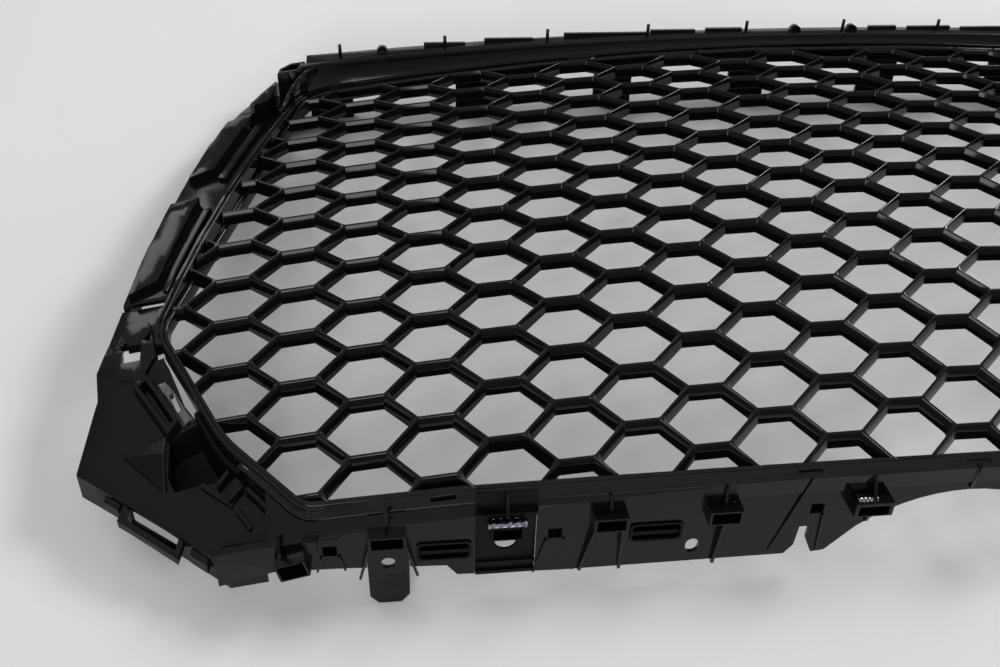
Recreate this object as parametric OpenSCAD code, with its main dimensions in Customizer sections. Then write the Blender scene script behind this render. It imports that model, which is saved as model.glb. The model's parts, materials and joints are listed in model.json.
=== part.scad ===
// Front grille of a passenger car: a crowned honeycomb mesh held in a carrier
// of separate mouldings. The grille lies face up, leaning back by its recline
// angle, on its two lower tabs and on the skirt of its far edge. Every piece is
// drawn in the moulding frame, whose Z is the direction the tools open in, and
// place() then lays the whole grille down. All sizes are in millimetres.

/* [Mesh] */
// distance between neighbouring columns of cells
column_pitch = 38.6; // [37:0.2:40]
// distance between neighbouring rows of cells
row_pitch = 25; // [24:0.5:26]
// length of the level side of a cell
cell_side = 20.4; // [18:0.2:22]
// thickness of the walls between cells
wall = 3.6; // [2.4:0.2:5]
// depth of the cell walls along the moulding direction
mesh_depth = 8; // [6:0.5:12]

/* [Crown] */
// radius of the crown across the car
crown_radius = 2900; // [2600:50:3400]
// slope of the mesh at mid height
rake = 0.42; // [0.38:0.01:0.46]
// bow of the mesh from edge to edge
belly = 0.00169; // [0.0015:0.00001:0.0019]
// change of bow towards the lower edge
reflex = 0.0000029; // [0.0000025:0.0000001:0.0000033]
// angle by which the grille leans back when it lies on its edges
recline = 28; // [27:0.5:29]

/* [Outline] */
// latch edge of the mesh at the centre line, measured back from the origin
latch_edge = 137.5; // [136:0.5:139]
// lip edge of the mesh at the centre line
lip_edge = 168.5; // [166:0.5:171]
// bow of both long edges, as the radius of their arcs
edge_radius = 7150; // [6000:50:9000]
// half width of the mesh at its widest point
mesh_half = 465; // [463:1:467]
// width of the bead around the mesh
bead_w = 6; // [5:0.2:7]
// wall thickness of the carrier mouldings
skin = 2.6; // [2:0.1:3]

/* [Flange] */
// depth at which the latch flange ends, below the origin
flange_end = 165; // [163:1:167]
// radius of the bonnet latch cut-out
latch_radius = 96; // [90:1:100]
// depth at which the tip of a tab ends, below the origin
tab_tip = 183; // [180:1:186]
// width of a fixing tab
tab_w = 23; // [21:1:25]
// diameter of the fixing hole in a tab
tab_hole = 8; // [6:0.5:9]
// width and height of the slotted fixing hole
slot_w = 8; // [7:0.5:9]
slot_h = 11; // [10:0.5:13]

/* [Lip] */
// rise of the lip above the mesh at the centre line
lip_rise = 6; // [4:0.5:8]
// radius of the crown of the lip, flatter than the mesh
lip_crown = 6300; // [5800:100:7000]
// width of the flange strip along the lip
strip_w = 11.5; // [10:0.5:13]
// height of the locating pins on the lip
pin_h = 8; // [6:0.5:10]
// diameter of the corner fixing hole
corner_hole = 6; // [5:0.5:7]

/* [Hidden] */

hex_tip = column_pitch - cell_side / 2;
border = 1.4;
// widths of the bead beside the lip and beside the corner pocket
lip_bead = 3;
thin_bead = 2.8;
// half width over which every crowned surface is drawn
crown_reach = 550;
profile_steps = 14;
lip_wall = 7;
lip_half = 384;
lip_thick = 2.2;
// middle and length of each raised tab on the lip flange
lip_tab_spans = [
  [-285, 30], [-238, 36], [-166, 62], [-115, 34], [-76, 28], [48, 22],
  [85, 34], [128, 34], [190, 62], [252, 36], [292, 30]
];
tab_rise = 1.8;
skirt_w = 2.5;
bracket_drop = 12;
panel_drop = 9;
flange_back = latch_edge + 2;
flange_front = flange_back + skin;
// place of the fixing tab along the flange
tab_x = 339;
// middle of the spring bay along the flange
bay_x = 272.5;
bay_w = 34.4;
// height of the receivers, and the middles of the windows in the flange
receiver_top = 119;
small_windows = [[371, -137.5], [244.5, -134.5], [91, -128]];
long_windows = [[307.5, -142.5], [185.5, -138]];
// height of the moulding frame's origin above the tips of the tabs, where the grille rests
rest_lift = tab_tip * cos(recline) - flange_back * sin(recline);

// height of the crowned face above the origin
function profile(y) = rake * y - belly * y * y + reflex * y * y * y;
function face(x, y) = profile(y) - x * x / (2 * crown_radius);
function lip_face(x, y) = profile(y) + lip_rise - x * x / (2 * lip_crown);
// the two long edges of the mesh
function latch_line(x) = x * x / (2 * edge_radius) - latch_edge;
function lip_line(x) = lip_edge - x * x / (2 * edge_radius);
// one rounded corner of an outline, from the side towards a to the side towards b
function unit(v) = v / norm(v);
function corner(a, p, b, r, n = 6) =
  let (u = unit(a - p), w = unit(b - p))
  let (half = acos(u * w) / 2, reach = r / tan(half))
  let (centre = p + unit(u + w) * r / sin(half))
  let (start = p + u * reach - centre, turn = (cross(u, w) > 0 ? -1 : 1) * (180 - 2 * half))
  [for (i = [0:n]) let (t = turn * i / n) centre + [
    start.x * cos(t) - start.y * sin(t),
    start.x * sin(t) + start.y * cos(t)
  ]];
function flipped(points) = [for (i = [len(points) - 1:-1:0]) [-points[i].x, points[i].y]];
// moves every side of a closed outline outwards by d
function grown(points, d) = [for (i = [0:len(points) - 1])
  let (p = points[i], a = unit(p - points[(i + len(points) - 1) % len(points)]))
  let (b = unit(points[(i + 1) % len(points)] - p), m = [a.y, -a.x], n = [b.y, -b.x])
  p + (m + n) * d / (1 + m * n)
];

widest = [mesh_half, -39];
knee = [mesh_half - 37, -96];
chamfer_end = [mesh_half - 81, -129];
lip_corner = [mesh_half - 82, lip_line(mesh_half - 82)];
half_mesh = concat(
  [for (x = [60:80:300]) [x, latch_line(x)]],
  corner([300, latch_line(300)], chamfer_end, knee, 22),
  corner(chamfer_end, knee, widest, 60, 4),
  corner(knee, widest, lip_corner, 14),
  corner(widest, lip_corner, [300, lip_line(300)], 26),
  [for (x = [300:-80:60]) [x, lip_line(x)]]
);
mesh_outline = concat(half_mesh, flipped(half_mesh));

// how far the laid grille reaches each way, which puts the origin in the middle of its box
rim_line = lip_edge + lip_wall + strip_w;
near_reach = flange_front * cos(recline) + tab_tip * sin(recline);
far_reach = rim_line * cos(recline) + (lip_face(0, rim_line) + tab_rise) * sin(recline);

module place() {
  translate([0, (near_reach - far_reach) / 2, rest_lift])
    rotate([-recline, 0, 0])
      children();
}

// everything that would reach below the rest plane is cut off level
module level() {
  intersection() {
    children();
    translate([-600, -300, 0])
      cube([1200, 600, 200]);
  }
}

module place_side(side) {
  place()
    mirror([side < 0 ? 1 : 0, 0, 0])
      children();
}

// a crowned shell whose upper face is the mesh face raised by top, clipped to a plan shape
module shell(top, thick, from = -175, to = 215, tilt_from = 0, tilt = 0) {
  intersection() {
    crown(crown_radius, top, thick, from, to, tilt_from, tilt);
    column() children();
  }
}

module crown(radius, top, thick, from, to, tilt_from = 0, tilt = 0) {
  ys = [for (i = [0:profile_steps]) from + (to - from) * i / profile_steps];
  radii = [for (y = ys) radius + profile(y) + top + tilt * max(0, y - tilt_from)];
  upper = [for (i = [0:profile_steps]) [radii[i], ys[i]]];
  lower = [for (i = [profile_steps:-1:0]) [radii[i] - thick, ys[i]]];
  half_angle = asin(crown_reach / radius);
  rotate([0, -90, -90])
    translate([-radius, 0, 0])
      rotate([0, 0, -half_angle])
        rotate_extrude(angle = 2 * half_angle, $fn = 720)
          polygon(concat(upper, lower));
}

// a plan shape carried along the moulding direction
module column() {
  translate([0, 0, -300])
    linear_extrude(height = 400)
      children();
}

module cell() {
  inset = wall / 2;
  slope = unit([row_pitch / 2, hex_tip - cell_side / 2]);
  tip = hex_tip - inset / slope.x;
  flat_y = row_pitch / 2 - inset;
  flat_x = tip - flat_y * slope.y / slope.x;
  polygon([
    [tip, 0], [flat_x, flat_y], [-flat_x, flat_y],
    [-tip, 0], [-flat_x, -flat_y], [flat_x, -flat_y]
  ]);
}

module cells() {
  for (column = [-12:12])
    for (row = [-6:7])
      translate([column * column_pitch, (row + (column % 2 == 0 ? 0.5 : 0)) * row_pitch])
        cell();
}

module honeycomb_mesh() {
  color([0.02, 0.02, 0.025])
    place()
      shell(0, mesh_depth)
        difference() {
          polygon(grown(mesh_outline, 1));
          intersection() {
            cells();
            polygon(grown(mesh_outline, -border));
          }
        }
}

// the bead around the mesh, where it crosses a rectangle of the plan
module bead(from_x, to_x, from_y, to_y, width = bead_w) {
  shell(1.5, 11)
    intersection() {
      difference() {
        polygon(grown(mesh_outline, width));
        polygon(grown(mesh_outline, 1));
      }
      translate([from_x, from_y])
        square([to_x - from_x, to_y - from_y]);
    }
}

// a groove runs along the middle of the bead at both ends of the mesh
module bead_groove() {
  shell(4, 3.6)
    difference() {
      polygon(grown(mesh_outline, bead_w * 0.62));
      polygon(grown(mesh_outline, bead_w * 0.42));
    }
}

// beside the slots and the pocket of the corner the bead is only a thin wall
corner_zone = [[480, -46], [456, -40], [407, -101], [436, -119]];

module bead_relief() {
  difference() {
    polygon(corner_zone);
    polygon(grown(mesh_outline, thin_bead));
  }
}

// the plan the bead fills, with the clearance its neighbours keep from it
module bead_plan(gap) {
  difference() {
    polygon(grown(mesh_outline, bead_w + gap));
    polygon(grown(corner_zone, -gap));
  }
  polygon(grown(mesh_outline, thin_bead + gap));
}

// small slots along the top of the bead take the tongues of the trim
module bead_latch_side() {
  color([0.02, 0.02, 0.02])
    place()
      difference() {
        bead(-372, 372, -160, -100);
        for (x = [-307, -100, 0, 100, 307])
          translate([x - 7, latch_line(x) - 4.2, -120])
            cube([14, 1.8, 40]);
      }
}

module bead_lip_side() {
  color([0.02, 0.02, 0.02])
    place()
      bead(-352, 352, 120, 190, lip_bead);
}

module bead_end(side) {
  color([0.02, 0.02, 0.02])
    place_side(side)
      difference() {
        bead(340, 500, -150, 185);
        translate([0, -160, -300])
          cube([372, 100, 400]);
        translate([0, 120, -300])
          cube([352, 100, 400]);
        bead_groove();
        column()
          bead_relief();
      }
}

// front view of the latch flange, X across and Y up
half_flange_edge = concat(
  [for (a = [0:6:42]) [latch_radius * sin(a), -120 - latch_radius * (1 - cos(a))]],
  [[80, -flange_end + 2], [88, -flange_end + 1], [93, -153], [93, -142], [99, -142], [100, -157]],
  [[105, -flange_end + 1], [240, -flange_end], [300, -flange_end + 2], [306, -155], [363, -152]],
  [[402, -151], [434, -160]]
);

module front(depth_from, depth_to) {
  translate([0, -depth_from, 0])
    rotate([90, 0, 0])
      linear_extrude(height = depth_to - depth_from)
        children();
}

module flange_windows() {
  for (at = small_windows)
    translate(at)
      square([8, 7.5], center = true);
  // the fixing tabs cross a gap in the flange edge
  translate([tab_x - 12.1, -175])
    square([24.2, 32.5]);
  // bays for the spring bridges
  translate([bay_x - bay_w / 2 - 0.3, -flange_end - 5])
    square([bay_w + 0.6, flange_end - 100]);
  for (at = long_windows)
    translate(at)
      square([28, 11], center = true);
  // slotted fixing hole
  translate([162.5, -152]) {
    for (end = [-1, 1])
      translate([0, end * (slot_h - slot_w) / 2])
        circle(d = slot_w, $fn = 48);
    square([slot_w, slot_h - slot_w], center = true);
  }
}

// thin ribs that spread from the lower corners of a small window
module window_ribs(at, drop) {
  for (end = [-1, 1])
    rib(at.x + end * 5, at.y - 4, [[0, 0], [1.6, 0], [0.8, drop], [0, drop]], -end * 14, 1.2);
}

module half_flange() {
  // a narrow shelf fills between the bead and the flange
  shell(0.5, skin)
    difference() {
      translate([120, -flange_back - 0.5])
        square([285, 24]);
      polygon(grown(mesh_outline, bead_w + 0.2));
    }
  window_ribs(small_windows[0], 12);
  window_ribs(small_windows[1], 27);
  rib(87, -132, [[0, 0], [1.6, 0], [0.8, 30], [0, 30]], 3, 1.2);
  rib(99, -104, [[0, 0], [1.6, 0], [0.8, 58], [0, 58]], -16, 1.2);
  rib(0.6, -100, [[0, 0], [1.4, 0], [1.4, 18], [0, 18]], 0, 1.2);
  difference() {
    intersection() {
      shell(0.5, 120)
        translate([0, -flange_front])
          square([434, skin]);
      front(flange_back - 5, flange_front + 5)
        polygon(concat(half_flange_edge, [[434, -60], [0, -60]]));
    }
    front(flange_back - 5, flange_front + 5)
      flange_windows();
  }
}

module latch_flange() {
  color([0.03, 0.03, 0.03])
    place()
      for (side = [-1, 1])
        mirror([side < 0 ? 1 : 0, 0, 0])
          half_flange();
}

// a box that stands out from the flange face, open at the front
module receiver(x, top, width, depth, height, mouth_w, mouth_h) {
  difference() {
    translate([x - width / 2, -flange_front - depth, top - height])
      cube([width, depth, height]);
    translate([x - mouth_w / 2, -flange_front - depth - 1, top - height + 0.9])
      cube([mouth_w, depth + 0.2, mouth_h]);
  }
}

// a rib on the flange face, hung from its top and leaning sideways:
// points are [how far it stands out, how far below the top]
module rib(x, top, points, lean = 0, thick = 1.8) {
  translate([x, -flange_front, top])
    rotate([0, lean, 0])
      translate([-thick / 2, 0, 0])
        rotate([90, 0, 90])
          linear_extrude(height = thick)
            polygon([for (p = points) [-p.x, -p.y]]);
}

// the rib above a receiver and the two below it, which run past the flange edge
module receiver_ribs(x, top, height, outer_lean, inner_lean) {
  drop = flange_end + top - height + 0.5;
  rib(x, top + 13, [[0, 0], [1.2, 0], [3, 13], [0, 13]]);
  rib(x + 8, top - height, [[0, 0], [5, 0], [1.8, drop], [0, drop]], outer_lean);
  rib(x - 8, top - height, [[0, 0], [5, 0], [1.8, drop], [0, drop]], inner_lean);
}

module snap_receivers(side) {
  color([0.035, 0.035, 0.035])
    place_side(side) {
      receiver(tab_x, -receiver_top - 2.5, 21, 8.5, 9.5, 17.6, 7.6);
      rib(tab_x, 14 - receiver_top, [[0, 0], [1.2, 0], [3, 16.5], [0, 16.5]]);
      for (end = [-1, 1])
        rib(tab_x + end * 9.6, -receiver_top - 12, [[0, 0], [6, 0], [1.8, 30], [0, 30]], -end * 13, 1.4);
      receiver(214, -receiver_top, 19.5, 7.5, 10, 16.4, 8);
      receiver_ribs(214, -receiver_top, 10, -11, 1);
      receiver(148, -receiver_top, 19.5, 7.5, 10, 16.4, 8);
      rib(148, 13 - receiver_top, [[0, 0], [1.2, 0], [3, 13], [0, 13]]);
      rib(147, -10 - receiver_top, [[0, 0], [5, 0], [2, 37], [0, 37]], -3);
    }
}

// the tab carries the flange past its edge: a chamfered tongue with a fixing hole and grip ribs
module fixing_tab(side) {
  color([0.03, 0.03, 0.03])
    place_side(side) {
      difference() {
        front(flange_back, flange_front)
          polygon([
            [tab_x + 12, -142.5], [tab_x + tab_w / 2, 6 - tab_tip], [tab_x + tab_w / 2 - 5, -tab_tip],
            [tab_x - tab_w / 2 + 5, -tab_tip], [tab_x - tab_w / 2, 6 - tab_tip], [tab_x - 12, -142.5]
          ]);
        translate([tab_x, -flange_back + 5, -150])
          rotate([90, 0, 0])
            cylinder(d = tab_hole, h = 20, $fn = 64);
      }
      for (i = [0:6])
        translate([tab_x - tab_w / 2 + 1.5, -flange_front - 0.6, -174 + 2.2 * i])
          cube([tab_w - 3, 0.7, 1]);
    }
}

// shallow cups behind the windows of the flange, the long ones crossed by a bar
module cup(at, width, height, depth) {
  difference() {
    translate([at.x - width / 2 - 1.5, -flange_back + 0.1, at.y - height / 2 - 1.5])
      cube([width + 3, depth, height + 3]);
    translate([at.x - width / 2, -flange_back - 1, at.y - height / 2])
      cube([width, depth - 0.6, height]);
  }
}

// a rectangle with rounded corners about the middle
module pill(width, height, round = 2.5) {
  square([width - 2 * round, height], center = true);
  square([width, height - 2 * round], center = true);
  for (x = [-1, 1], y = [-1, 1])
    translate([x * (width / 2 - round), y * (height / 2 - round)])
      circle(r = round, $fn = 32);
}

module flange_cups(side) {
  color([0.02, 0.02, 0.02])
    place_side(side) {
      for (at = small_windows)
        cup(at, 8, 7.5, 5);
      for (at = long_windows) {
        cup(at, 28, 11, 7);
        translate([at.x - 14.2, -flange_front + 0.6, at.y - 3.4])
          cube([28.4, 6, 3]);
        // a raised frame around the window
        front(flange_front, flange_front + 1.2)
          translate(at)
            difference() {
              pill(31, 14);
              pill(28, 11);
            }
      }
    }
}

// a back plate with a boxed mouth over a round hole, and two cross bars, bridge the open bay
module bay_bridge(side) {
  color([0.03, 0.03, 0.03])
    place_side(side) {
      difference() {
        translate([bay_x - bay_w / 2, -flange_back - 1, 0.5 - flange_end])
          cube([bay_w, 2, 62.5]);
        translate([bay_x, -flange_back + 3, -140.5])
          rotate([90, 0, 0])
            cylinder(d = 12, h = 6, $fn = 48);
        translate([bay_x - 8, -flange_back - 2, -130])
          cube([16, 5, 8]);
      }
      // ears beside the spring
      translate([bay_x - bay_w / 2, -flange_front - 2, -117])
        cube([bay_w, 4.4, 2.2]);
      receiver(bay_x, -121.2, 19, 7, 9.4, 16, 7.6);
      for (z = [-157, -164.5])
        translate([bay_x - bay_w / 2, -flange_front, z])
          cube([bay_w, skin, 2.6]);
      rib(bay_x, -101, [[-2, 0], [0.6, 0], [5, 15], [-2, 15]], 0, 2);
    }
}

// a folded strip of spring steel with a waved crest
module spring(x, top, width, depth) {
  for (i = [0:4])
    translate([x - width / 2 + width * (i + 0.5) / 5, -flange_front - depth / 2, top])
      rotate([90, 0, 0])
        cylinder(d = 2.2, h = depth, center = true, $fn = 24);
  translate([x - width / 2, -flange_front - depth, top - 1])
    cube([width, depth, 1]);
}

module bay_spring(side) {
  color([0.5, 0.52, 0.55])
    place_side(side)
      spring(bay_x, -120.1, 23, 6.8);
}

module latch_receiver(side) {
  color([0.035, 0.035, 0.035])
    place_side(side) {
      receiver(62, -117, 23, 10, 10, 18, 6.6);
      rib(62, -103, [[0, 0], [1.5, 0], [9, 14], [0, 14]]);
      rib(62, -127, [[0, 0], [8, 0], [5, 9], [0, 9]]);
    }
}

module latch_spring(side) {
  color([0.5, 0.52, 0.55])
    place_side(side)
      translate([0, -1, 0])
        spring(66, -115.9, 13, 8);
}

// a box turned to the slope of the flange end
module hook_receiver(side) {
  color([0.03, 0.03, 0.03])
    place_side(side) {
      translate([392.5, 0, -134])
        rotate([0, 14, 0])
          receiver(0, 0, 17, 11, 12, 14.4, 10);
      // a stop beside the box, and the rib above it
      translate([377.5, -flange_front - 5, -133.5])
        cube([7.4, 5.2, 9]);
      rib(398, -122, [[0, 0], [1.2, 0], [5, 14], [0, 14]]);
    }
}

// plan points of the outer silhouette on the right-hand side
panel_edge = [[412, 178], [426, 175], [433, 164], [452, 124], [468, 66], [481, 31], [492, -10]];
bracket_edge = [[493, -11], [499, -30], [505, -45], [503, -60], [513, -93], [435, -137], [428, -141]];
bracket_outline = concat([[400, -141], [400, -60], [440, -11]], bracket_edge);
edge_start = bracket_edge[4];
edge_end = bracket_edge[5];

// inner side of the panel, under the bead
panel_inside = [[430, -10], [380, 140], [392, 178]];
corner_hole_at = [403.5, 160];
boss_h = 5;

module side_panel(side) {
  color([0.03, 0.03, 0.03])
    level()
      place_side(side)
        difference() {
          union() {
            shell(-panel_drop, skin)
              difference() {
                polygon(concat(panel_edge, panel_inside));
                polygon(grown(mesh_outline, bead_w + 0.3));
              }
            // the skirt along the outer edge
            shell(-panel_drop - skin, 14)
              difference() {
                polygon(concat(panel_edge, panel_inside));
                polygon(concat([for (p = panel_edge) p - [3, 2]], [[430, -30], [360, 140], [392, 170]]));
              }
            boss(corner_hole + 5);
          }
          boss(corner_hole, 20);
        }
}

// an upright cylinder about the axis of the corner fixing hole
module boss(d, extra = 0) {
  middle = face(corner_hole_at.x, corner_hole_at.y) - panel_drop - skin / 2;
  translate([corner_hole_at.x, corner_hole_at.y, middle])
    cylinder(d = d, h = boss_h + 2 * extra, center = true, $fn = 64);
}

module side_pads(side) {
  color([0.03, 0.03, 0.03])
    place_side(side) {
      shell(-3, panel_drop - 3)
        polygon([[440, 141], [422, 148], [444, 86], [460, 80]]);
      shell(-3, panel_drop - 3)
        polygon([[469, 57], [451, 59], [471, -2], [488, -9]]);
      // steps beside the pads
      shell(-6, panel_drop - 6)
        polygon([[420, 136], [414, 138], [436, 78], [441, 80]]);
      shell(-6, panel_drop - 6)
        polygon([[448, 50], [443, 52], [465, -8], [468, -6]]);
    }
}

// a box, a raised shelf and a falling ridge join the side panel, the bead and the lip
module corner_block(side) {
  color([0.025, 0.025, 0.025])
    level()
      place_side(side) {
        difference() {
          shell(14, 34)
            polygon([[388, 166], [405, 165.5], [403.5, 173.5], [396, 180], [386, 180], [384, 172]]);
          shell(16, 14)
            polygon([[391, 169], [402, 168.5], [401, 172.5], [395, 177.5], [389, 177.5]]);
        }
        shell(4, 14)
          polygon([[411, 150], [421, 145], [424, 148], [415, 164.5], [407.5, 177], [405.5, 173]]);
        shell(2, 14, 100, 215, 140, 0.55)
          intersection() {
            difference() {
              polygon(grown(mesh_outline, 10));
              polygon(grown(mesh_outline, 7.5));
            }
            translate([362, 136])
              square([50, 50]);
          }
      }
}

// a point beside the outer edge of the bracket: s along the edge, out away from it
function edge_point(s, out) =
  let (along = unit(edge_end - edge_start))
  edge_start + along * s + [-along.y, along.x] * out;

// a plan strip beside that edge
module edge_strip(s0, s1, in, out) {
  polygon([edge_point(s0, in), edge_point(s1, in), edge_point(s1, out), edge_point(s0, out)]);
}

// a narrow plan strip between two points
module line(a, b, w = 2) {
  n = unit([a.y - b.y, b.x - a.x]) * w / 2;
  polygon([a + n, b + n, b - n, a - n]);
}

module bracket_openings() {
  // see-through slot beside the bead and the seat of the metal strip
  polygon([[464, -45], [457, -44], [442, -68], [446, -77], [452, -70]]);
  polygon([[469, -57], [463, -56], [447, -77], [452, -80]]);
  // stepped window with a notch
  translate([479, -44])
    square([11, 9]);
  translate([487, -37])
    square([4, 4]);
  polygon([[474, -34], [478, -33], [473, -27]]);
  pocket_mouth();
}

module pocket_mouth() {
  polygon([[460, -84], [430, -76], [416, -102], [426, -107], [444, -107], [457, -108], [461, -101]]);
}

module corner_bracket(side) {
  color([0.03, 0.03, 0.03])
    place_side(side) {
      shell(-bracket_drop, skin)
        difference() {
          polygon(bracket_outline);
          bead_plan(0.3);
          bracket_openings();
        }
      // a plateau around the window, and ridges across the corner
      shell(-bracket_drop + 3, 3.2)
        difference() {
          polygon([[488, -20], [475, -22], [470, -42], [478, -56], [493, -50], [496, -38]]);
          bracket_openings();
        }
      // skirt along the outer edge, open behind the clip
      difference() {
        shell(-bracket_drop - skin, 14)
          difference() {
            polygon(bracket_outline);
            polygon(concat([[300, -150], [300, -8]], [for (p = bracket_edge) p + [-2.6, 1.6]]));
          }
        shell(-bracket_drop - 2, 14)
          edge_strip(34, 66, -6, 3);
      }
    }
}

// a box beside the strip, a long ridge and hooked ribs stand on the bracket
module bracket_ribs(side) {
  color([0.03, 0.03, 0.03])
    place_side(side) {
      shell(-bracket_drop + 8, 8)
        difference() {
          polygon([[481, -61], [474, -56], [454, -81], [460, -87]]);
          polygon([[478, -62], [474, -59], [457, -81], [460, -83]]);
        }
      shell(-bracket_drop + 3, 3)
        line([442, -108], [424, -119]);
      shell(-bracket_drop + 3, 3)
        line([422, -121], [414, -129]);
      shell(-bracket_drop + 6, 6)
        line([432, -111], [426, -106]);
      shell(-bracket_drop + 6, 6)
        line([426, -118], [418.5, -113]);
      shell(-bracket_drop + 6, 6)
        line([416, -114.5], [403, -125], 1.8);
    }
}

pocket_outline = [[463, -82], [430, -72], [410, -102], [425, -110], [444, -110], [458, -111], [464, -101]];

// the deep pocket under the bracket, walled by the bead on its inner side
module corner_pocket(side) {
  color([0.02, 0.02, 0.02])
    place_side(side)
      difference() {
        shell(-bracket_drop - skin - 0.2, 20)
          difference() {
            polygon(pocket_outline);
            bead_plan(0.3);
          }
        shell(-bracket_drop, 20)
          pocket_mouth();
      }
}

// a metal strip stands in the second slot
module corner_strip(side) {
  color([0.6, 0.61, 0.63])
    place_side(side)
      shell(-bracket_drop + 1, 4)
        difference() {
          polygon([[468.6, -57.4], [463.6, -56.6], [448, -76.8], [451.6, -79.4]]);
          polygon([[461, -64], [458.5, -63], [453.5, -72], [456, -73]]);
        }
}

// a pyramid stiffens the bracket outside the pocket
module corner_gusset(side) {
  color([0.03, 0.03, 0.03])
    place_side(side)
      hull()
        for (at = [[485, -90, 0], [462, -85, 1], [461.5, -96, 8], [462, -108, 1]])
          translate([at.x, at.y, face(at.x, at.y) - bracket_drop + at.z - 2])
            cube([1, 1, 2]);
}

// a loop and two stops clip onto the outer skirt of the bracket
module skirt_clip(side) {
  color([0.03, 0.03, 0.03])
    place_side(side) {
      shell(-bracket_drop - 1, 5)
        difference() {
          edge_strip(31, 70, 0.2, 7.5);
          edge_strip(34, 67, -1, 5);
        }
      shell(-bracket_drop - 2, 7) {
        edge_strip(19, 29, 0.2, 3);
        edge_strip(75, 86, 0.2, 3);
      }
    }
}

// the lip line moved outwards, and the plan strip between two such lines
function lip_row(out) = [for (x = [lip_half:-lip_half / 6:-lip_half]) [x, lip_line(x) + out]];
module lip_strip(inner, outer) {
  polygon(concat(lip_row(outer), [for (i = [12:-1:0]) lip_row(inner)[i]]));
}

// everything above the mesh face lowered by drop and below the crown of the lip
module under_lip(drop, below = 0) {
  intersection() {
    crown(lip_crown, lip_rise - below, 80, 120, 215);
    shell(40, 40 + drop, 120, 215)
      children();
  }
}

// a ledge runs out from the bead to the wall of the lip, which grows taller towards the corners
module bottom_lip() {
  color([0.012, 0.012, 0.012])
    place() {
      shell(-0.5, skin, 120, 215)
        difference() {
          lip_strip(-8, lip_wall);
          polygon(grown(mesh_outline, lip_bead + 0.2));
        }
      under_lip(3.1, 0.1)
        lip_strip(lip_wall - lip_thick, lip_wall);
    }
}

module lip_flange() {
  color([0.03, 0.03, 0.03])
    place()
      intersection() {
        crown(lip_crown, lip_rise, skin, 120, 215);
        column()
          lip_strip(lip_wall + 0.1, rim_line - lip_edge);
      }
}

// the wall that stands under the outer edge of the lip, cut level where the grille rests
module lip_skirt() {
  color([0.03, 0.03, 0.03])
    level()
      place()
        difference() {
          intersection() {
            crown(lip_crown, lip_rise - skin - 0.1, 75, 120, 215);
            column()
              lip_strip(lip_wall + strip_w - skirt_w, lip_wall + strip_w);
          }
          // open windows between the stiff posts
          for (i = [-3:3])
            translate([i * 105 - 38, lip_edge, -60])
              cube([76, 40, 82]);
        }
}

module on_lip(x, out) {
  translate([x, lip_line(x) + out, lip_face(x, lip_line(x) + out)])
    children();
}

module lip_pins() {
  color([0.03, 0.03, 0.03])
    place()
      for (i = [-5:4])
        on_lip(15 + i * 75, lip_wall + 6)
          translate([0, 0, -0.5])
            cylinder(d = 2.4, h = pin_h + 0.5, $fn = 24);
}

// raised tabs along the outer edge of the lip flange
module lip_tabs() {
  color([0.03, 0.03, 0.03])
    place()
      for (tab = lip_tab_spans)
        on_lip(tab.x, lip_wall + strip_w - 3)
          translate([-tab.y / 2, 0, -1.2])
            cube([tab.y, 3, 1.2 + tab_rise]);
}

// low domed stops between the tabs
module lip_clips() {
  color([0.03, 0.03, 0.03])
    place()
      for (side = [-1, 1], at = [22, 330])
        on_lip(side * at, lip_wall + strip_w - 2.5)
          rotate([90, 0, 0])
            cylinder(d = 8, h = 5, $fn = 32);
}

honeycomb_mesh();
bead_latch_side();
bead_lip_side();
bead_end(-1);  // bead_left
bead_end(1);  // bead_right
latch_flange();
bottom_lip();
lip_flange();
lip_skirt();
lip_pins();
lip_tabs();
lip_clips();
flange_cups(-1);  // flange_cups_left
flange_cups(1);  // flange_cups_right
snap_receivers(-1);  // snap_receivers_left
snap_receivers(1);  // snap_receivers_right
fixing_tab(-1);  // fixing_tab_left
fixing_tab(1);  // fixing_tab_right
bay_bridge(-1);  // bay_bridge_left
bay_bridge(1);  // bay_bridge_right
bay_spring(-1);  // bay_spring_left
bay_spring(1);  // bay_spring_right
latch_receiver(-1);  // latch_receiver_left
latch_receiver(1);  // latch_receiver_right
latch_spring(-1);  // latch_spring_left
latch_spring(1);  // latch_spring_right
hook_receiver(-1);  // hook_receiver_left
hook_receiver(1);  // hook_receiver_right
side_panel(-1);  // side_panel_left
side_panel(1);  // side_panel_right
side_pads(-1);  // side_pads_left
side_pads(1);  // side_pads_right
corner_block(-1);  // lip_corner_left
corner_block(1);  // lip_corner_right
corner_bracket(-1);  // corner_bracket_left
corner_bracket(1);  // corner_bracket_right
bracket_ribs(-1);  // bracket_ribs_left
bracket_ribs(1);  // bracket_ribs_right
corner_pocket(-1);  // corner_pocket_left
corner_pocket(1);  // corner_pocket_right
corner_strip(-1);  // corner_strip_left
corner_strip(1);  // corner_strip_right
corner_gusset(-1);  // corner_gusset_left
corner_gusset(1);  // corner_gusset_right
skirt_clip(-1);  // skirt_clip_left
skirt_clip(1);  // skirt_clip_right
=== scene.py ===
"""Looks for the honeycomb front grille: drafted mesh walls, moulded black plastics and studio light."""

import json
import math

import bmesh
import bpy
from mathutils import Matrix, Vector


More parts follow.
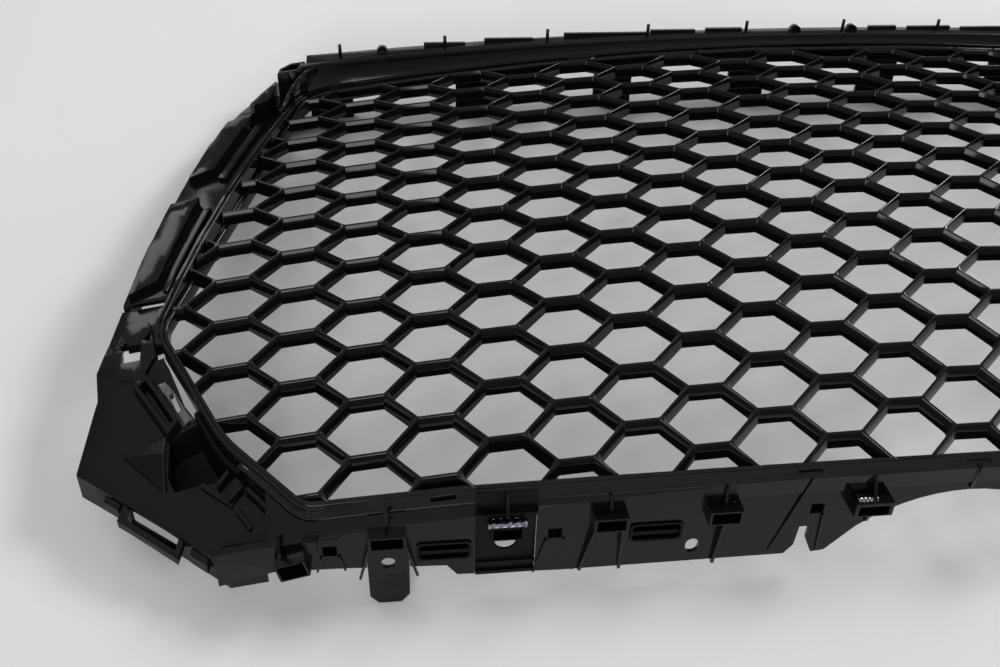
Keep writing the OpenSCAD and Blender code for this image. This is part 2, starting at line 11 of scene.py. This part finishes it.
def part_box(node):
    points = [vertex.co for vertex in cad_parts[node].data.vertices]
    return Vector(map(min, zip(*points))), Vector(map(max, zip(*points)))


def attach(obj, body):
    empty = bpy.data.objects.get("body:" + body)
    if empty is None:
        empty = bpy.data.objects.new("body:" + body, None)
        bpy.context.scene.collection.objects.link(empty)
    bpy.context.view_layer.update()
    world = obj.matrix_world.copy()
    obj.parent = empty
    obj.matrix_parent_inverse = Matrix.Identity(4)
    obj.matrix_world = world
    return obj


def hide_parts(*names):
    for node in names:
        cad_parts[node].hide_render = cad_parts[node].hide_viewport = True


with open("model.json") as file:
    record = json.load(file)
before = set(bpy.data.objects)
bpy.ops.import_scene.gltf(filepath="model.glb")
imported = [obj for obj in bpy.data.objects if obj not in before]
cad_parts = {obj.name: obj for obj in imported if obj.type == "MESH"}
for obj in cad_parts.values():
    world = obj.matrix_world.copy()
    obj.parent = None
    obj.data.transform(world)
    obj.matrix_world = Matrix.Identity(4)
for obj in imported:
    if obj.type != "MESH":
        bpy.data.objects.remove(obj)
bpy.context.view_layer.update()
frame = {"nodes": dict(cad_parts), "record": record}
MM = 0.001

# ---------------------------------------------------------------- the moulding frame, in millimetres

COLUMN_PITCH, ROW_PITCH, CELL_SIDE = 38.6, 25.0, 20.4
HEX_TIP = COLUMN_PITCH - CELL_SIDE / 2
CROWN_RADIUS, RAKE, BELLY, REFLEX = 2900.0, 0.42, 0.00169, 0.0000029
RECLINE = math.radians(28)
LATCH_EDGE, LIP_EDGE, EDGE_RADIUS, MESH_HALF = 137.5, 168.5, 7150.0, 465.0
FLANGE_BACK, FLANGE_FRONT, TAB_TIP = 139.5, 142.1, 183.0
LIP_CROWN, LIP_RISE, LIP_WALL, STRIP_WIDTH, TAB_RISE = 6300.0, 6.0, 7.0, 11.5, 1.8
LIP_HALF = 384.0
MESH_BORDER = 1.4


def face_height(x, y):
    """Height of the crowned mesh face in the moulding frame."""
    return RAKE * y - BELLY * y * y + REFLEX * y**3 - x * x / (2 * CROWN_RADIUS)


def lip_height(x, y):
    """Height of the lip strip, whose crown is flatter."""
    return face_height(0, y) + LIP_RISE - x * x / (2 * LIP_CROWN)


RIM = LIP_EDGE + LIP_WALL + STRIP_WIDTH
REST_LIFT = TAB_TIP * math.cos(RECLINE) - FLANGE_BACK * math.sin(RECLINE)
NEAR_REACH = FLANGE_FRONT * math.cos(RECLINE) + TAB_TIP * math.sin(RECLINE)
FAR_REACH = RIM * math.cos(RECLINE) + (lip_height(0, RIM) + TAB_RISE) * math.sin(RECLINE)
LAY_DOWN = (
    Matrix.Translation((0, (NEAR_REACH - FAR_REACH) / 2 * MM, REST_LIFT * MM))
    @ Matrix.Rotation(-RECLINE, 4, "X")
    @ Matrix.Scale(MM, 4)
)


def latch_line(x):
    return x * x / (2 * EDGE_RADIUS) - LATCH_EDGE


def lip_line(x):
    return LIP_EDGE - x * x / (2 * EDGE_RADIUS)


def rounded(before, point, after, radius, steps):
    """Points of an arc that rounds the corner at point."""
    point = Vector(point)
    u, w = (Vector(before) - point).normalized(), (Vector(after) - point).normalized()
    half = math.acos(max(-1, min(1, u.dot(w)))) / 2
    centre = point + (u + w).normalized() * radius / math.sin(half)
    start = point + u * radius / math.tan(half) - centre
    turn = (math.pi - 2 * half) * (-1 if u.cross(w) > 0 else 1)
    return [centre + Matrix.Rotation(turn * i / steps, 2) @ start for i in range(steps + 1)]


def mesh_outline():
    """Plan outline of the mesh, anticlockwise."""
    widest, knee, chamfer_end = (MESH_HALF, -39), (MESH_HALF - 37, -96), (MESH_HALF - 81, -129)
    lip_corner = (MESH_HALF - 82, lip_line(MESH_HALF - 82))
    half = [Vector((x, latch_line(x))) for x in range(60, 301, 80)]
    half += rounded(half[-1], chamfer_end, knee, 22, 6)
    half += rounded(chamfer_end, knee, widest, 60, 4)
    half += rounded(knee, widest, lip_corner, 14, 6)
    half += rounded(widest, lip_corner, (300, lip_line(300)), 26, 6)
    half += [Vector((x, lip_line(x))) for x in range(300, 59, -80)]
    return half + [Vector((-p.x, p.y)) for p in reversed(half)]


def offset(outline, distance):
    """Moves every side of a closed outline outwards."""
    moved = []
    for i, p in enumerate(outline):
        a, b = (p - outline[i - 1]).normalized(), (outline[(i + 1) % len(outline)] - p).normalized()
        m, n = Vector((a.y, -a.x)), Vector((b.y, -b.x))
        moved.append(p + (m + n) * distance / (1 + m.dot(n)))
    return moved


# ---------------------------------------------------------------- materials


def nodes_of(name):
    material = bpy.data.materials.new(name)
    material.use_nodes = True
    tree = material.node_tree
    return material, tree, tree.nodes["Principled BSDF"]


def noise(tree, scale, detail, roughness=0.5, stretch=(1, 1, 1)):
    """A noise texture in object space, in metres."""
    coords = tree.nodes.new("ShaderNodeTexCoord")
    mapping = tree.nodes.new("ShaderNodeMapping")
    mapping.inputs["Scale"].default_value = stretch
    texture = tree.nodes.new("ShaderNodeTexNoise")
    texture.inputs["Scale"].default_value = scale
    texture.inputs["Detail"].default_value = detail
    texture.inputs["Roughness"].default_value = roughness
    tree.links.new(coords.outputs["Object"], mapping.inputs["Vector"])
    tree.links.new(mapping.outputs["Vector"], texture.inputs["Vector"])
    return texture.outputs["Fac"]


def ramp(tree, value, stops):
    node = tree.nodes.new("ShaderNodeValToRGB")
    node.color_ramp.elements[0].position = stops[0][0]
    node.color_ramp.elements[1].position = stops[-1][0]
    for stop in stops[1:-1]:
        node.color_ramp.elements.new(stop[0])
    for element, stop in zip(node.color_ramp.elements, stops):
        shade = stop[1] if isinstance(stop[1], tuple) else (stop[1],) * 3
        element.color = (*shade, 1)
    tree.links.new(value, node.inputs["Fac"])
    return node.outputs["Color"]


def bump(tree, value, strength, distance, normal=None):
    node = tree.nodes.new("ShaderNodeBump")
    node.inputs["Strength"].default_value = strength
    node.inputs["Distance"].default_value = distance
    tree.links.new(value, node.inputs["Height"])
    if normal:
        tree.links.new(normal, node.inputs["Normal"])
    return node.outputs["Normal"]


def mix(tree, blend, a, b, factor):
    node = tree.nodes.new("ShaderNodeMix")
    node.data_type = "RGBA"
    node.blend_type = blend
    node.inputs["Factor"].default_value = factor
    tree.links.new(a, node.inputs["A"])
    tree.links.new(b, node.inputs["B"])
    return node.outputs["Result"]


def moulded_plastic(name, base, gloss, dull, ripple, specular):
    """Black moulded plastic: cloudy gloss, smears, hairline scratches, dust and a slightly wavy skin."""
    material, tree, shader = nodes_of(name)
    dust = ramp(tree, noise(tree, 900, 3, 0.7), [(0.0, 0.0), (0.68, 0.0), (0.78, 1.0)])
    cloud = noise(tree, 14, 4)
    darker, lighter = tuple(c * 0.8 for c in base), tuple(c * 1.25 for c in base)
    tint = ramp(tree, cloud, [(0.3, darker), (0.7, lighter)])
    speck = ramp(tree, dust, [(0.0, (0.0, 0.0, 0.0)), (1.0, (0.03, 0.03, 0.033))])
    hairline = ramp(tree, noise(tree, 70, 6, 0.7, (1, 30, 4)), [(0.0, 0.0), (0.66, 0.0), (0.72, 0.006)])
    dusty = mix(tree, "ADD", tint, speck, 1.0)
    tree.links.new(mix(tree, "ADD", dusty, hairline, 1.0), shader.inputs["Base Color"])
    smear = ramp(tree, noise(tree, 22, 5, 0.6, (1, 3, 1)), [(0.35, gloss), (0.7, dull)])
    worn = ramp(tree, noise(tree, 110, 5, 0.65, (14, 1, 3)), [(0.0, 0.0), (0.6, 0.0), (0.75, 0.08)])
    tree.links.new(mix(tree, "ADD", smear, worn, 1.0), shader.inputs["Roughness"])
    peel = bump(tree, noise(tree, 260, 2), 0.12, ripple)
    wave = bump(tree, noise(tree, 28, 2), 0.25, ripple * 3, peel)
    tree.links.new(wave, shader.inputs["Normal"])
    shader.inputs["IOR"].default_value = 1.5
    shader.inputs["Specular IOR Level"].default_value = specular
    return material


def sheet_metal(name, base, rough, crinkle):
    """Bright strip metal: rolling marks and a crinkled, stained skin."""
    material, tree, shader = nodes_of(name)
    stain = noise(tree, 160, 4, 0.6)
    tint = ramp(tree, stain, [(0.25, tuple(c * 0.55 for c in base)), (0.6, base)])
    tree.links.new(tint, shader.inputs["Base Color"])
    patchy = ramp(tree, noise(tree, 420, 3), [(0.3, rough * 0.6), (0.7, rough * 1.6)])
    tree.links.new(patchy, shader.inputs["Roughness"])
    rolled = bump(tree, noise(tree, 240, 2, 0.5, (1, 9, 1)), 0.3, 0.0004)
    tree.links.new(bump(tree, noise(tree, 330, 3), 0.6, crinkle, rolled), shader.inputs["Normal"])
    shader.inputs["Metallic"].default_value = 1.0
    return material


gloss_black = moulded_plastic("gloss_black", (0.0028, 0.0028, 0.0034), 0.05, 0.12, 0.00002, 0.32)
carrier_black = moulded_plastic("carrier_black", (0.0034, 0.0034, 0.0036), 0.12, 0.24, 0.000015, 0.24)
inner_black = moulded_plastic("inner_black", (0.002, 0.002, 0.002), 0.35, 0.5, 0.00006, 0.12)
spring_steel = sheet_metal("spring_steel", (0.30, 0.32, 0.37), 0.2, 0.0005)
strip_metal = sheet_metal("strip_metal", (0.2, 0.21, 0.22), 0.45, 0.00008)
BY_SLOT = {
    "gloss_black": gloss_black,
    "carrier_black": carrier_black,
    "inner_black": inner_black,
    "spring_steel": spring_steel,
    "strip_metal": strip_metal,
}

# ---------------------------------------------------------------- the carried-over mouldings


def soften(piece, radius):
    """Welds the facets and rounds every hard edge, as a mould tool leaves it."""
    weld = piece.modifiers.new("weld", "WELD")
    weld.merge_threshold = 0.00002
    bevel = piece.modifiers.new("edge_radius", "BEVEL")
    bevel.width = radius
    bevel.segments = 2
    bevel.limit_method = "ANGLE"
    bevel.angle_limit = math.radians(35)
    bevel.use_clamp_overlap = True
    bevel.harden_normals = True
    bevel.miter_outer = "MITER_ARC"


EDGE_RADIUS_MOULDED = 0.00035
slots = {part["node"]: part["material_slot"] for part in frame["record"]["subparts"]}
for name, piece in frame["nodes"].items():
    piece.data.materials.clear()
    piece.data.materials.append(BY_SLOT[slots[name]])
    if name != "honeycomb_mesh":
        soften(piece, EDGE_RADIUS_MOULDED)

# ---------------------------------------------------------------- the honeycomb

# half thickness of a wall, and the depth below the face, from the rounded nose to the back
WALL_RINGS = [(0.12, 0.0), (0.34, 0.06), (0.52, 0.24), (0.64, 0.65), (2.2, 7.5), (2.1, 7.9)]
CORNER_STEPS = 4


def cell_ring(half_wall, fillet):
    """Plan points of one opening: six rounded corners, each a list of points."""
    upper, tip = Vector((CELL_SIDE / 2, ROW_PITCH / 2)), Vector((HEX_TIP, 0))
    plan = [tip, upper, Vector((-upper.x, upper.y)), -tip, -upper, Vector((upper.x, -upper.y))]
    inner = offset(plan, -half_wall)
    return [
        rounded(inner[i - 1], inner[i], inner[(i + 1) % 6], fillet, CORNER_STEPS) for i in range(6)
    ]


def on_face(x, y, below):
    return Vector((x, y, face_height(x, y) - below))


def build_cells(bm):
    """Walls of every opening, and the noses and backs that join neighbouring openings."""
    rings = [cell_ring(half_wall, 1.9 - half_wall * 0.35) for half_wall, _ in WALL_RINGS]
    cells = {}
    for column in range(-13, 14):
        for row in range(-7, 9):
            half_row = 1 if column % 2 == 0 else 0
            centre = Vector((column * COLUMN_PITCH, (row + half_row / 2) * ROW_PITCH))
            cells[(column, 2 * row + half_row)] = [
                [
                    [bm.verts.new(on_face(centre.x + p.x, centre.y + p.y, below)) for p in corner]
                    for corner in ring
                ]
                for ring, (_, below) in zip(rings, WALL_RINGS)
            ]
    for levels in cells.values():
        for upper, lower in zip(levels, levels[1:]):
            top = [v for corner in upper for v in corner]
            low = [v for corner in lower for v in corner]
            for i in range(len(top)):
                bm.faces.new((top[i - 1], top[i], low[i], low[i - 1]))
    for (column, row), levels in cells.items():
        for level, flip in ((0, False), (-1, True)):
            join_neighbours(bm, cells, column, row, levels[level], level, flip)


def join_neighbours(bm, cells, column, row, corners, level, flip):
    """Bridges an opening to its neighbours above and to the right, and fills the corners between three."""

    def ring(dc, dr):
        found = cells.get((column + dc, row + dr))
        return found[level] if found else None

    def add(points):
        bm.faces.new(points[::-1] if flip else points)

    above, upper_right, lower_right = ring(0, 2), ring(1, 1), ring(1, -1)
    if above:
        add((corners[2][0], corners[1][-1], above[5][0], above[4][-1]))
    if upper_right:
        add((corners[1][0], corners[0][-1], upper_right[4][0], upper_right[3][-1]))
    if lower_right:
        add((corners[0][0], corners[5][-1], lower_right[3][0], lower_right[2][-1]))
    if above and upper_right:
        add([*corners[1][::-1], *upper_right[3][::-1], *above[5][::-1]])
    if upper_right and lower_right:
        add([*corners[0][::-1], *lower_right[2][::-1], *upper_right[4][::-1]])


def trim(bm, outline):
    """Cuts the wall lattice to the convex outline and closes the cut ends."""
    for i, p in enumerate(outline):
        along = p - outline[i - 1]
        outward = Vector((along.y, -along.x, 0)).normalized()
        geometry = bm.verts[:] + bm.edges[:] + bm.faces[:]
        cut = bmesh.ops.bisect_plane(
            bm, geom=geometry, plane_co=(p.x, p.y, 0), plane_no=outward, clear_outer=True, dist=1e-5
        )
        edges = [e for e in cut["geom_cut"] if isinstance(e, bmesh.types.BMEdge) and e.is_boundary]
        bmesh.ops.holes_fill(bm, edges=edges, sides=0)


def build_border(bm):
    """The rim that ties the wall ends together, with the same rounded nose."""
    outline = mesh_outline()
    section = [
        (0.95, 0.5), (0.6, 0.1), (-0.1, 0.0), (-0.9, 0.15), (-MESH_BORDER, 0.6),
        (-MESH_BORDER - 0.3, 1.6), (-MESH_BORDER - 1.0, 7.4), (-MESH_BORDER - 0.8, 7.9), (0.95, 7.9),
    ]
    loops = [[bm.verts.new(on_face(p.x, p.y, below)) for p in offset(outline, out)] for out, below in section]
    for i, loop in enumerate(loops):
        following = loops[(i + 1) % len(loops)]
        for j in range(len(loop)):
            bm.faces.new((loop[j - 1], loop[j], following[j], following[j - 1]))


def new_piece(name, bm, material, sharp=40):
    bmesh.ops.recalc_face_normals(bm, faces=bm.faces[:])
    data = bpy.data.meshes.new(name)
    bm.to_mesh(data)
    bm.free()
    data.materials.append(material)
    data.polygons.foreach_set("use_smooth", [True] * len(data.polygons))
    data.set_sharp_from_angle(angle=math.radians(sharp))
    piece = bpy.data.objects.new(name, data)
    bpy.context.scene.collection.objects.link(piece)
    return piece


def make_honeycomb():
    bm = bmesh.new()
    build_cells(bm)
    trim(bm, mesh_outline())
    build_border(bm)
    bmesh.ops.transform(bm, matrix=LAY_DOWN, verts=bm.verts[:])
    piece = new_piece("honeycomb_walls", bm, gloss_black)
    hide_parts("honeycomb_mesh")
    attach(piece, "root")


make_honeycomb()

# ---------------------------------------------------------------- the sweep of the lip

# depth of the ledge under the foot, stations along the lip and steps up its concave wall
LIP_LEDGE = 2.4
LIP_STATIONS, SWEEP_STEPS = 96, 10


def lip_foot(x):
    """How far outside the mesh edge the sweep starts; it follows the mesh round the corner."""
    return 3.2 - 6.7 * max(0.0, abs(x) - 366) / 18


def make_lip():
    """A concave wall that sweeps up from the bead to the strip, with a rounded crest."""
    bm = bmesh.new()
    loops = []
    for i in range(LIP_STATIONS + 1):
        x = -LIP_HALF + 2 * LIP_HALF * i / LIP_STATIONS
        edge = lip_line(x)
        foot, top = edge + lip_foot(x), edge + LIP_WALL - 0.7
        low, high = face_height(x, edge) - 0.5, lip_height(x, edge + LIP_WALL) - 0.1
        section = [(foot, low - LIP_LEDGE), (foot, low)]
        for k in range(1, SWEEP_STEPS + 1):
            t = math.pi / 2 * k / SWEEP_STEPS
            rise = (high - 0.5 - low) * (1 - math.cos(t))
            section.append((foot + (top - foot) * math.sin(t), low + rise))
        outer = edge + LIP_WALL
        section += [(top + 0.15, high - 0.15), (top + 0.4, high), (outer, high), (outer, low - LIP_LEDGE)]
        loops.append([bm.verts.new((x, y, z)) for y, z in section])
    for loop, following in zip(loops, loops[1:]):
        for k in range(len(loop)):
            bm.faces.new((loop[k - 1], loop[k], following[k], following[k - 1]))
    bm.faces.new(loops[0])
    bm.faces.new(loops[-1][::-1])
    bmesh.ops.transform(bm, matrix=LAY_DOWN, verts=bm.verts[:])
    piece = new_piece("lip_sweep", bm, gloss_black, 50)
    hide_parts("bottom_lip")
    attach(piece, "root")


make_lip()

# ---------------------------------------------------------------- inner walls of the corner pockets

THIN_BEAD = 2.8
POCKET_NEAR, POCKET_FAR = -109.0, -72.0
POCKET_WALL, POCKET_TOP, POCKET_BOTTOM = 2.0, 9.0, 33.0
POCKET_SAMPLES = 10


def pocket_path():
    """The stretch of the mesh edge that the pocket lies against, sampled finely."""
    outline = mesh_outline()
    stretch = []
    for a, b in zip(outline, outline[1:]):
        for k in range(POCKET_SAMPLES):
            p = a.lerp(b, k / POCKET_SAMPLES)
            if p.x > 0 and POCKET_NEAR < p.y < POCKET_FAR:
                stretch.append((p, Vector(((b - a).y, -(b - a).x)).normalized()))
    return stretch


def make_pocket_wall(side, name):
    """A wall that hangs below the thin bead and closes the pocket on its inner side."""
    corners = (
        (0, POCKET_TOP), (POCKET_WALL, POCKET_TOP), (POCKET_WALL, POCKET_BOTTOM), (0, POCKET_BOTTOM)
    )
    bm = bmesh.new()
    loops = []
    for p, outward in pocket_path():
        loop = []
        for out, below in corners:
            at = p + outward * (THIN_BEAD + 0.1 + out)
            loop.append(bm.verts.new((side * at.x, at.y, face_height(at.x, at.y) - below)))
        loops.append(loop)
    for loop, following in zip(loops, loops[1:]):
        for k in range(4):
            bm.faces.new((loop[k - 1], loop[k], following[k], following[k - 1]))
    bm.faces.new(loops[0])
    bm.faces.new(loops[-1][::-1])
    bmesh.ops.transform(bm, matrix=LAY_DOWN, verts=bm.verts[:])
    piece = new_piece(name, bm, inner_black)
    soften(piece, 0.0003)
    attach(piece, "root")


make_pocket_wall(-1, "pocket_wall_left")
make_pocket_wall(1, "pocket_wall_right")

# ---------------------------------------------------------------- spring clips


# how far each row of the strip stands out, and how far it drops, from the crest to the fold
SPRING_ROWS = [(0.0, 0.3), (1.2, -0.35), (2.6, -0.1), (4.0, -0.5), (5.2, -0.2), (6.0, 0.5), (6.2, 1.6)]
SPRING_COLUMNS, SPRING_GAUGE = 46, 0.00035


def make_spring(name, node):
    """A thin strip of spring steel, crinkled along its crest and folded down over its seat."""
    low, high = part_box(node)
    to_pull = LAY_DOWN.inverted()
    ends = list(zip(low, high))
    corners = [to_pull @ Vector((x, y, z)) for x in ends[0] for y in ends[1] for z in ends[2]]
    middle = sum(corners, Vector()) / 8
    half = (high[0] - low[0]) / MM / 2 - 0.6
    bm = bmesh.new()
    rows = []
    for j, (out, drop) in enumerate(SPRING_ROWS):
        row = []
        for i in range(SPRING_COLUMNS + 1):
            u = i / SPRING_COLUMNS
            crinkle = 0.38 * math.sin(u * 31 + j * 1.3) + 0.22 * math.sin(u * 67 + j * 2.9)
            across = middle.x - half + 2 * half * u
            up = middle.z - drop + crinkle * (0.4 + 0.1 * j) + 0.2
            row.append(bm.verts.new((across, middle.y + 3.0 - out, up)))
        rows.append(row)
    for row, following in zip(rows, rows[1:]):
        for i in range(SPRING_COLUMNS):
            bm.faces.new((row[i], row[i + 1], following[i + 1], following[i]))
    bmesh.ops.transform(bm, matrix=LAY_DOWN, verts=bm.verts[:])
    piece = new_piece(name, bm, spring_steel, 60)
    thick = piece.modifiers.new("gauge", "SOLIDIFY")
    thick.thickness = SPRING_GAUGE
    thick.offset = 0
    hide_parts(node)
    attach(piece, "root")


for kind in ("bay_spring", "latch_spring"):
    for side in ("left", "right"):
        make_spring(f"{kind}_strip_{side}", f"{kind}_{side}")

# ---------------------------------------------------------------- studio and camera

# place of the camera in the moulding frame, its turn in degrees, its lens and sensor in millimetres
CAMERA_AT, CAMERA_TURN = (-329.9, -538.35, 283.6), (27.229, -4.191, -4.918)
CAMERA_LENS, CAMERA_SENSOR = 36.225, 36


def make_floor():
    bm = bmesh.new()
    bmesh.ops.create_grid(bm, x_segments=40, y_segments=40, size=14)
    material, tree, shader = nodes_of("pale_cloth")
    cloud = noise(tree, 3, 3)
    tint = ramp(tree, cloud, [(0.3, (0.715, 0.70, 0.72)), (0.7, (0.755, 0.74, 0.755))])
    tree.links.new(tint, shader.inputs["Base Color"])
    tree.links.new(bump(tree, noise(tree, 700, 2), 0.15, 0.0004), shader.inputs["Normal"])
    shader.inputs["Roughness"].default_value = 0.9
    new_piece("floor", bm, material)


def make_light(name, location, aim, size, power, color=(1, 1, 1)):
    data = bpy.data.lights.new(name, "AREA")
    data.shape = "RECTANGLE"
    data.size, data.size_y = size
    data.energy = power
    data.color = color
    light = bpy.data.objects.new(name, data)
    light.location = location
    light.rotation_euler = (Vector(aim) - Vector(location)).to_track_quat("-Z", "Y").to_euler()
    bpy.context.scene.collection.objects.link(light)


def make_world():
    """Soft light all round, dimmer towards the horizon."""
    world = bpy.data.worlds.new("studio")
    world.use_nodes = True
    tree = world.node_tree
    background = tree.nodes["Background"]
    coords = tree.nodes.new("ShaderNodeTexCoord")
    height = tree.nodes.new("ShaderNodeSeparateXYZ")
    tree.links.new(coords.outputs["Generated"], height.inputs["Vector"])
    shades = [(0.0, (0.22, 0.22, 0.225)), (0.45, (0.5, 0.5, 0.51)), (0.9, (1.0, 1.0, 1.0))]
    sky = ramp(tree, height.outputs["Z"], shades)
    tree.links.new(sky, background.inputs["Color"])
    background.inputs["Strength"].default_value = 0.55
    bpy.context.scene.world = world


def make_camera():
    data = bpy.data.cameras.new("camera")
    data.sensor_width = CAMERA_SENSOR
    data.lens = CAMERA_LENS
    camera = bpy.data.objects.new("camera", data)
    camera.location = LAY_DOWN @ Vector(CAMERA_AT)
    camera.rotation_euler = [math.radians(a) for a in CAMERA_TURN]
    bpy.context.scene.collection.objects.link(camera)
    bpy.context.scene.camera = camera


make_floor()
make_world()
make_light("key", (2.1, 1.1, 2.0), (0, 0, 0), (0.9, 0.9), 62, (1.0, 0.99, 0.98))
make_light("far_fill", (-1.8, 2.1, 1.6), (-0.1, 0, 0), (1.4, 1.4), 22, (1.0, 0.99, 0.985))
make_light("near_fill", (-0.9, -2.2, 1.5), (-0.2, 0, 0), (1.2, 1.2), 20, (0.98, 0.99, 1.0))
make_camera()
bpy.context.scene.view_settings.view_transform = "Standard"
